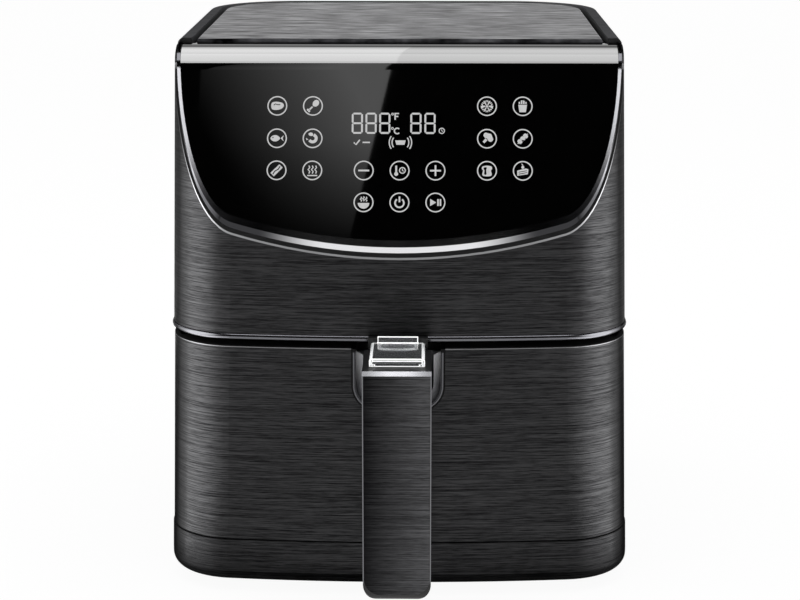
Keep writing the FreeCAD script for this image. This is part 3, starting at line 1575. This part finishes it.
def heating_coil():
    """The sheathed heating tube, one unbroken sweep along its path, and the brackets that carry it."""
    path = coil_path()
    tube = number("coil_tube")
    first = path.Edges[0].Vertexes[0].Point
    section = Part.Wire([Part.Circle(first, Vector(0, 0, 1), tube).toShape()])
    coil = doc.addObject("Part::Feature", "heating_coil_solid")
    coil.Shape = path.makePipeShell([section], True, False)
    print(f"heating coil: least gap between turns {self_gap(path, tube):.2f} mm")
    node(coil, "heating_coil")

    brackets = []
    reach = f"({COIL_END} + coil_tube + coil_bracket_margin)"
    inner = "(coil_start - coil_tube - coil_bracket_margin)"
    sheet = "coil_bracket_thickness"
    half = "coil_bracket_width / 2"
    drop = (f"{COIL_UNDER} - {sheet}", f"{HOOD_TOP} - hood_wall")
    ledge = (f"{COIL_UNDER} - {sheet}", COIL_UNDER)
    across = (f"-{half}", half)
    deep = (f"{AXIS_Y} - {half}", f"{AXIS_Y} + {half}")
    right = fuse(
        "coil_bracket_right",
        box("bracket_right_drop", (reach, f"{reach} + {sheet}"), deep, drop),
        box("bracket_right_ledge", (inner, f"{reach} + {sheet}"), deep, ledge),
    )
    brackets.append(right)
    for name, side in (("front", -1), ("rear", 1)):
        far = f"{AXIS_Y} + {side} * ({reach} + {sheet})"
        ends = sorted((f"{AXIS_Y} + {side} * ({reach})", far), key=number)
        run = sorted((f"{AXIS_Y} + {side} * {inner}", far), key=number)
        brackets.append(
            fuse(
                f"coil_bracket_{name}",
                box(f"bracket_{name}_drop", across, ends, drop),
                box(f"bracket_{name}_ledge", across, run, ledge),
            )
        )
    node(together("coil_bracket_set", *brackets), "coil_brackets")


def heater_guard():
    """The round wire guard below the coil, whose crossed bars reach the walls of the hood."""
    z = f"({HOOD_TOP} - guard_drop)"
    wires = []
    for i in range(int(SIZES["guard_ring_count"])):
        ring = doc.addObject("Part::Torus", f"guard_ring{i}")
        bind(ring, "Radius1", f"guard_ring * {i + 1}")
        bind(ring, "Radius2", "guard_wire")
        wires.append(place(ring, 0, AXIS_Y, z))
    reach_x = f"({HOOD_HALF_X} - hood_wall - running_gap)"
    reach_y = f"({HOOD_HALF_Y} - hood_wall - running_gap)"
    deep = (f"{AXIS_Y} - {reach_y}", f"{AXIS_Y} + {reach_y}")
    wires.append(rod("guard_bar_x", "X", "guard_wire", (f"-{reach_x}", reach_x), y=AXIS_Y, z=z))
    wires.append(rod("guard_bar_y", "Y", "guard_wire", deep, z=z))
    node(fuse("heater_guard_solid", *wires), "heater_guard")


def fans():
    """The shaft with its rotor, the convection fan below the hood and the cooling fan above the motor."""
    bore = "shaft_radius + pivot_play"
    hub_low = f"({FAN_LOW} - fan_hub_drop)"
    nut_low = f"({hub_low} - nut_height)"
    cooler_top = f"({COOLER_LOW} + cooler_height)"
    length = (f"{nut_low} - shaft_end", f"{cooler_top} + shaft_end")
    node(rod("motor_shaft_solid", "Z", "shaft_radius", length, 0, AXIS_Y), "motor_shaft")

    plate_low = f"({FAN_LOW} + fan_blade)"
    plate_top = f"({plate_low} + fan_plate)"
    hub_top = f"({plate_top} + nut_height)"
    body = turned(
        "convection_fan_body",
        [
            (bore, hub_low),
            ("fan_hub", hub_low),
            ("fan_hub", plate_low),
            ("fan_radius", plate_low),
            ("fan_radius", plate_top),
            ("fan_hub", plate_top),
            ("fan_hub", hub_top),
            (bore, hub_top),
        ],
        0,
        AXIS_Y,
    )
    blade = [
        ("fan_blade_root", "-fan_plate"),
        ("fan_radius - fan_rim", "fan_blade_root - fan_plate"),
        ("fan_radius - fan_rim", "fan_blade_root"),
        ("fan_blade_root", "0"),
    ]
    ring_of(body, "XY", blade, (FAN_LOW, plate_low), "fan_blade_count")
    node(body, "convection_fan")

    nut = doc.addObject("Part::Prism", "fan_nut_blank")
    nut.Polygon = 6
    bind(nut, "Circumradius", "nut_radius")
    bind(nut, "Height", "nut_height")
    place(nut, 0, AXIS_Y, nut_low)
    nut_bore = rod("fan_nut_bore", "Z", bore, (f"{nut_low} - 1", f"{hub_low} + 1"), 0, AXIS_Y)
    node(cut("fan_nut_solid", nut, nut_bore), "fan_nut")

    cooler = turned(
        "cooling_fan_body",
        [
            (bore, COOLER_LOW),
            ("cooler_hub", COOLER_LOW),
            ("cooler_hub", cooler_top, "cooler_round"),
            (bore, cooler_top),
        ],
        0,
        AXIS_Y,
    )
    lean = "(cooler_height / 2 - 1)"
    middle = f"({COOLER_LOW} + cooler_height / 2)"
    pitched = [
        (f"-{lean}", f"{middle} - {lean}"),
        (f"-{lean} + cooler_blade", f"{middle} - {lean}"),
        (lean, f"{middle} + {lean}"),
        (f"{lean} - cooler_blade", f"{middle} + {lean}"),
    ]
    ring_of(cooler, "YZ", pitched, ("cooler_hub - cooler_round", "cooler_radius"), "cooler_blade_count")
    node(cooler, "cooling_fan")


def ring_of(body, plane, corners, span, count):
    """Adds one blade to a turned body and repeats it round the upright axis."""
    sketch = sketch_on(body, plane, span[0])
    outline(sketch, corners)
    pad = body.newObject("PartDesign::Pad", body.Name + "_blade")
    pad.Profile = sketch
    bind(pad, "Length", f"({span[1]}) - ({span[0]})")
    doc.recompute()
    pattern = body.newObject("PartDesign::PolarPattern", body.Name + "_blades")
    pattern.Originals = [pad]
    upright = next(f for f in body.Origin.OriginFeatures if f.Role == "Z_Axis")
    pattern.Axis = (upright, [""])
    pattern.Angle = 360
    bind(pattern, "Occurrences", count)
    body.Tip = pattern


def motor():
    """The fan motor above the hood: bracket, core, winding, bearings, top bridge and rotor."""
    plate_low = f"({HOOD_TOP} + bracket_rise)"
    plate_top = f"({plate_low} + motor_bracket_sheet)"
    socket = "bearing_radius + pivot_play"
    half_x, half_y = "(motor_bracket_width / 2)", "(motor_bracket_depth / 2)"
    plate = rounded(
        "bracket_sheet",
        (f"-{half_x}", half_x),
        (f"{AXIS_Y} - {half_y}", f"{AXIS_Y} + {half_y}"),
        (plate_low, plate_top),
        "motor_post",
    )
    posts = []
    for i, side in enumerate((-1, 1)):
        x = f"{side} * ({half_x} - motor_post)"
        inner_x = f"{side} * (stator_width / 2 - motor_post)"
        inner_z = (f"{plate_top} - 1", STATOR_LOW)
        posts.append(rod(f"stator_post{i}", "Z", "motor_post", inner_z, inner_x, AXIS_Y))
        for j, end in enumerate((-1, 1)):
            y = f"{AXIS_Y} + {end} * ({half_y} - motor_post)"
            posts.append(rod(f"bracket_post{i}{j}", "Z", "motor_post", (HOOD_TOP, f"{plate_low} + 1"), x, y))
    hole = rod("bracket_hole_z", "Z", socket, (f"{plate_low} - 1", f"{plate_top} + 1"), 0, AXIS_Y)
    node(cut("motor_bracket_solid", fuse("motor_bracket_blank", plate, *posts), hole), "motor_bracket")

    front = f"({AXIS_Y} - stator_depth / 3)"
    back = f"({front} + stator_depth)"
    half = "(stator_width / 2)"
    limb = f"({back} - stator_depth / 5)"
    core = rounded("stator_core", (f"-{half}", half), (front, back), (STATOR_LOW, STATOR_TOP), "stator_round")
    through = (f"{STATOR_LOW} - 1", f"{STATOR_TOP} + 1")
    core_bore = rod("stator_bore", "Z", "rotor_radius + rotor_gap", through, 0, AXIS_Y)
    window_front = f"({AXIS_Y} + rotor_radius + rotor_gap + stator_web)"
    window_half = "(stator_width * 2 / 7)"
    window = box("stator_window", (f"-{window_half}", window_half), (window_front, limb), through)
    node(cut("motor_stator_solid", core, core_bore, window), "motor_stator")

    wind_x = ("-stator_width / 4", "stator_width / 4")
    wind = box(
        "winding_block",
        wind_x,
        (f"{window_front} + running_gap", f"{back} + winding_reach * 2"),
        (f"{STATOR_LOW} - winding_reach", f"{STATOR_TOP} + winding_reach"),
    )
    limb_room = box(
        "winding_room",
        ("-stator_width", "stator_width"),
        (f"{limb} - seat_gap / 2", f"{back} + seat_gap / 2"),
        (f"{STATOR_LOW} - seat_gap / 2", f"{STATOR_TOP} + seat_gap / 2"),
    )
    node(cut("motor_winding_solid", wind, limb_room), "motor_winding")

    rotor_span = (f"{STATOR_LOW} - 1", f"{STATOR_TOP} + 1")
    rotor = rod("rotor_core", "Z", "rotor_radius", rotor_span, 0, AXIS_Y)
    bore_span = (f"{STATOR_LOW} - 2", f"{STATOR_TOP} + 2")
    rotor_bore = rod("rotor_bore", "Z", "shaft_radius + pivot_play", bore_span, 0, AXIS_Y)
    node(cut("motor_rotor_solid", rotor, rotor_bore), "motor_rotor")

    bridge_low = f"({STATOR_TOP} + bearing_height)"
    bridge_top = f"({bridge_low} + bridge_sheet)"
    deep = (f"{AXIS_Y} - bridge_depth / 2", f"{AXIS_Y} + bridge_depth / 2")
    parts = [box("bridge_plate", (f"-{half}", half), deep, (bridge_low, bridge_top))]
    for i, x in enumerate(((f"-{half}", f"-{half} + bridge_leg"), (f"{half} - bridge_leg", half))):
        parts.append(box(f"bridge_leg{i}", x, deep, (STATOR_TOP, f"{bridge_low} + 1")))
    bridge_hole = rod("bridge_hole", "Z", socket, (f"{bridge_low} - 1", f"{bridge_top} + 1"), 0, AXIS_Y)
    node(cut("motor_bridge_solid", fuse("motor_bridge_blank", *parts), bridge_hole), "motor_bridge")

    lower_middle = f"({plate_low} + motor_bracket_sheet / 2)"
    upper_middle = f"({bridge_low} + bridge_sheet / 2)"
    for name, middle in (("lower", lower_middle), ("upper", upper_middle)):
        span = (f"{middle} - bearing_height / 2", f"{middle} + bearing_height / 2")
        ring = rod(f"{name}_bearing_ring", "Z", "bearing_radius", span, 0, AXIS_Y)
        wide = (f"{span[0]} - 1", f"{span[1]} + 1")
        eye = rod(f"{name}_bearing_eye", "Z", "shaft_radius + pivot_play", wide, 0, AXIS_Y)
        node(cut(f"{name}_bearing_solid", ring, eye), f"{name}_bearing")


def electronics():
    """The tray with the power board, the exhaust duct, and the switch that the pan presses."""
    outer_side = f"({HOOD_HALF_X} - tray_side_gap)"
    x = (f"{outer_side} - tray_width", outer_side)
    front = f"({AXIS_Y} - tray_front)"
    y = (front, f"{front} + tray_length")
    shell = box("tray_block", x, y, (HOOD_TOP, f"{HOOD_TOP} + tray_height"))
    room = box(
        "tray_room",
        (f"{x[0]} + tray_wall", f"{x[1]} - tray_wall"),
        (f"{y[0]} + tray_wall", f"{y[1]} - tray_wall"),
        (f"{HOOD_TOP} + tray_wall", f"{HOOD_TOP} + tray_height + 1"),
    )
    board_low = f"({HOOD_TOP} + tray_wall + power_board_rise)"
    posts = []
    near_end, far_end = "tray_wall + tray_post_gap", "tray_wall + tray_post_gap + tray_post"
    for i, px in enumerate((f"{x[0]} + {near_end}", f"{x[1]} - ({far_end})")):
        for j, py in enumerate((f"{y[0]} + {near_end}", f"{y[1]} - ({far_end})")):
            px_span = (px, f"{px} + tray_post")
            py_span = (py, f"{py} + tray_post")
            posts.append(box(f"tray_post{i}{j}", px_span, py_span, (f"{HOOD_TOP} + 1", board_low)))
    node(fuse("board_tray_solid", cut("tray_shell", shell, room), *posts), "board_tray")

    gap = "(tray_wall + tray_board_gap)"
    board_top = f"({board_low} + board_thickness)"
    board_x = (f"{x[0]} + {gap}", f"{x[1]} - {gap}")
    board_y = (f"{y[0]} + {gap}", f"{y[1]} - {gap}")
    parts = [box("power_board_sheet", board_x, board_y, (board_low, board_top))]
    # Each part on the board: its place from the tray's corner, and its size across, along and up
    for name, (px, py), (wide, long, high) in (
        ("relay", (8, 10), (19, 16, "part_height")),
        ("choke", (34, 12), (22, 22, "part_height * 0.8")),
        ("heat_sink", (40, 48), (4, 36, "part_height")),
    ):
        across = (f"{x[0]} + {px}", f"{x[0]} + {px + wide}")
        along = (f"{y[0]} + {py}", f"{y[0]} + {py + long}")
        parts.append(box(name, across, along, (f"{board_top} - 1", f"{board_top} + {high}")))
    can_high = (f"{board_top} - 1", f"{board_top} + part_height * 1.2")
    parts.append(rod("capacitor", "Z", "part_height / 2.4", can_high, f"{x[0]} + 20", f"{y[0]} + 60"))
    node(fuse("power_board_solid", *parts), "power_board")

    inner_x, inner_z = duct_opening()
    run = (f"{AXIS_Y} + {HOOD_HALF_Y}", f"{BACK} - shell_wall")
    outer_x = tuple(f"{v} {sign} duct_wall" for v, sign in zip(inner_x, "-+"))
    outer_z = tuple(f"{v} {sign} duct_wall" for v, sign in zip(inner_z, "-+"))
    tube = box("duct_outer", outer_x, run, outer_z)
    space = box("duct_inner", inner_x, (f"{run[0]} - 1", f"{run[1]} + 1"), inner_z)
    node(cut("exhaust_duct_solid", tube, space), "exhaust_duct")

    wall = f"({BACK} - shell_wall)"
    face = f"({wall} - switch_depth)"
    low = f"({PAN_TOP} - switch_drop)"
    middle = f"({low} + switch_height / 2)"
    tip = f"({PAN_BACK} + running_gap)"
    inside = f"({face} + plunger_guide)"
    half = "(switch_width / 2)"
    case = box("switch_case", (f"-{half}", half), (face, wall), (low, f"{low} + switch_height"))
    guide_span = (f"{face} - 1", f"{inside} + plunger_travel + plunger_end_gap")
    guide = rod("switch_guide", "Y", "plunger_radius + pivot_play", guide_span, z=middle)
    node(cut("drawer_switch_solid", case, guide), "drawer_switch")
    node(rod("switch_plunger_solid", "Y", "plunger_radius", (tip, inside), z=middle), "switch_plunger")


def duct_opening():
    """The inside of the exhaust duct, across and up."""
    middle = f"({VENT_LOW} + vent_height / 2)"
    inner = "(duct_height / 2 - duct_wall)"
    half = "(duct_width / 2 - duct_wall)"
    return (f"-{half}", half), (f"{middle} - {inner}", f"{middle} + {inner}")


upper_housing()
top_plate()
waist_trim()
rear_fittings()
base()
drawer()
basket()
handle()
release()
heater_chamber()
fans()
motor()
electronics()

doc.recompute()
failed = [f.Name for f in doc.Objects if "Invalid" in f.State or "Error" in f.State]
for piece in NODES:
    if piece.Shape.isNull() or not piece.Shape.isValid() or piece.Shape.Volume <= 0:
        failed.append(piece.Label)
if failed:
    raise SystemExit(f"failed: {failed}")
os.makedirs("parts", exist_ok=True)
for piece in NODES:
    piece.Shape.exportStep(f"parts/{piece.Label}.step")
    solids = len(piece.Shape.Solids)
    print(f"{piece.Label}: {solids} solid(s), {piece.Shape.Volume / 1000:.1f} cm3")
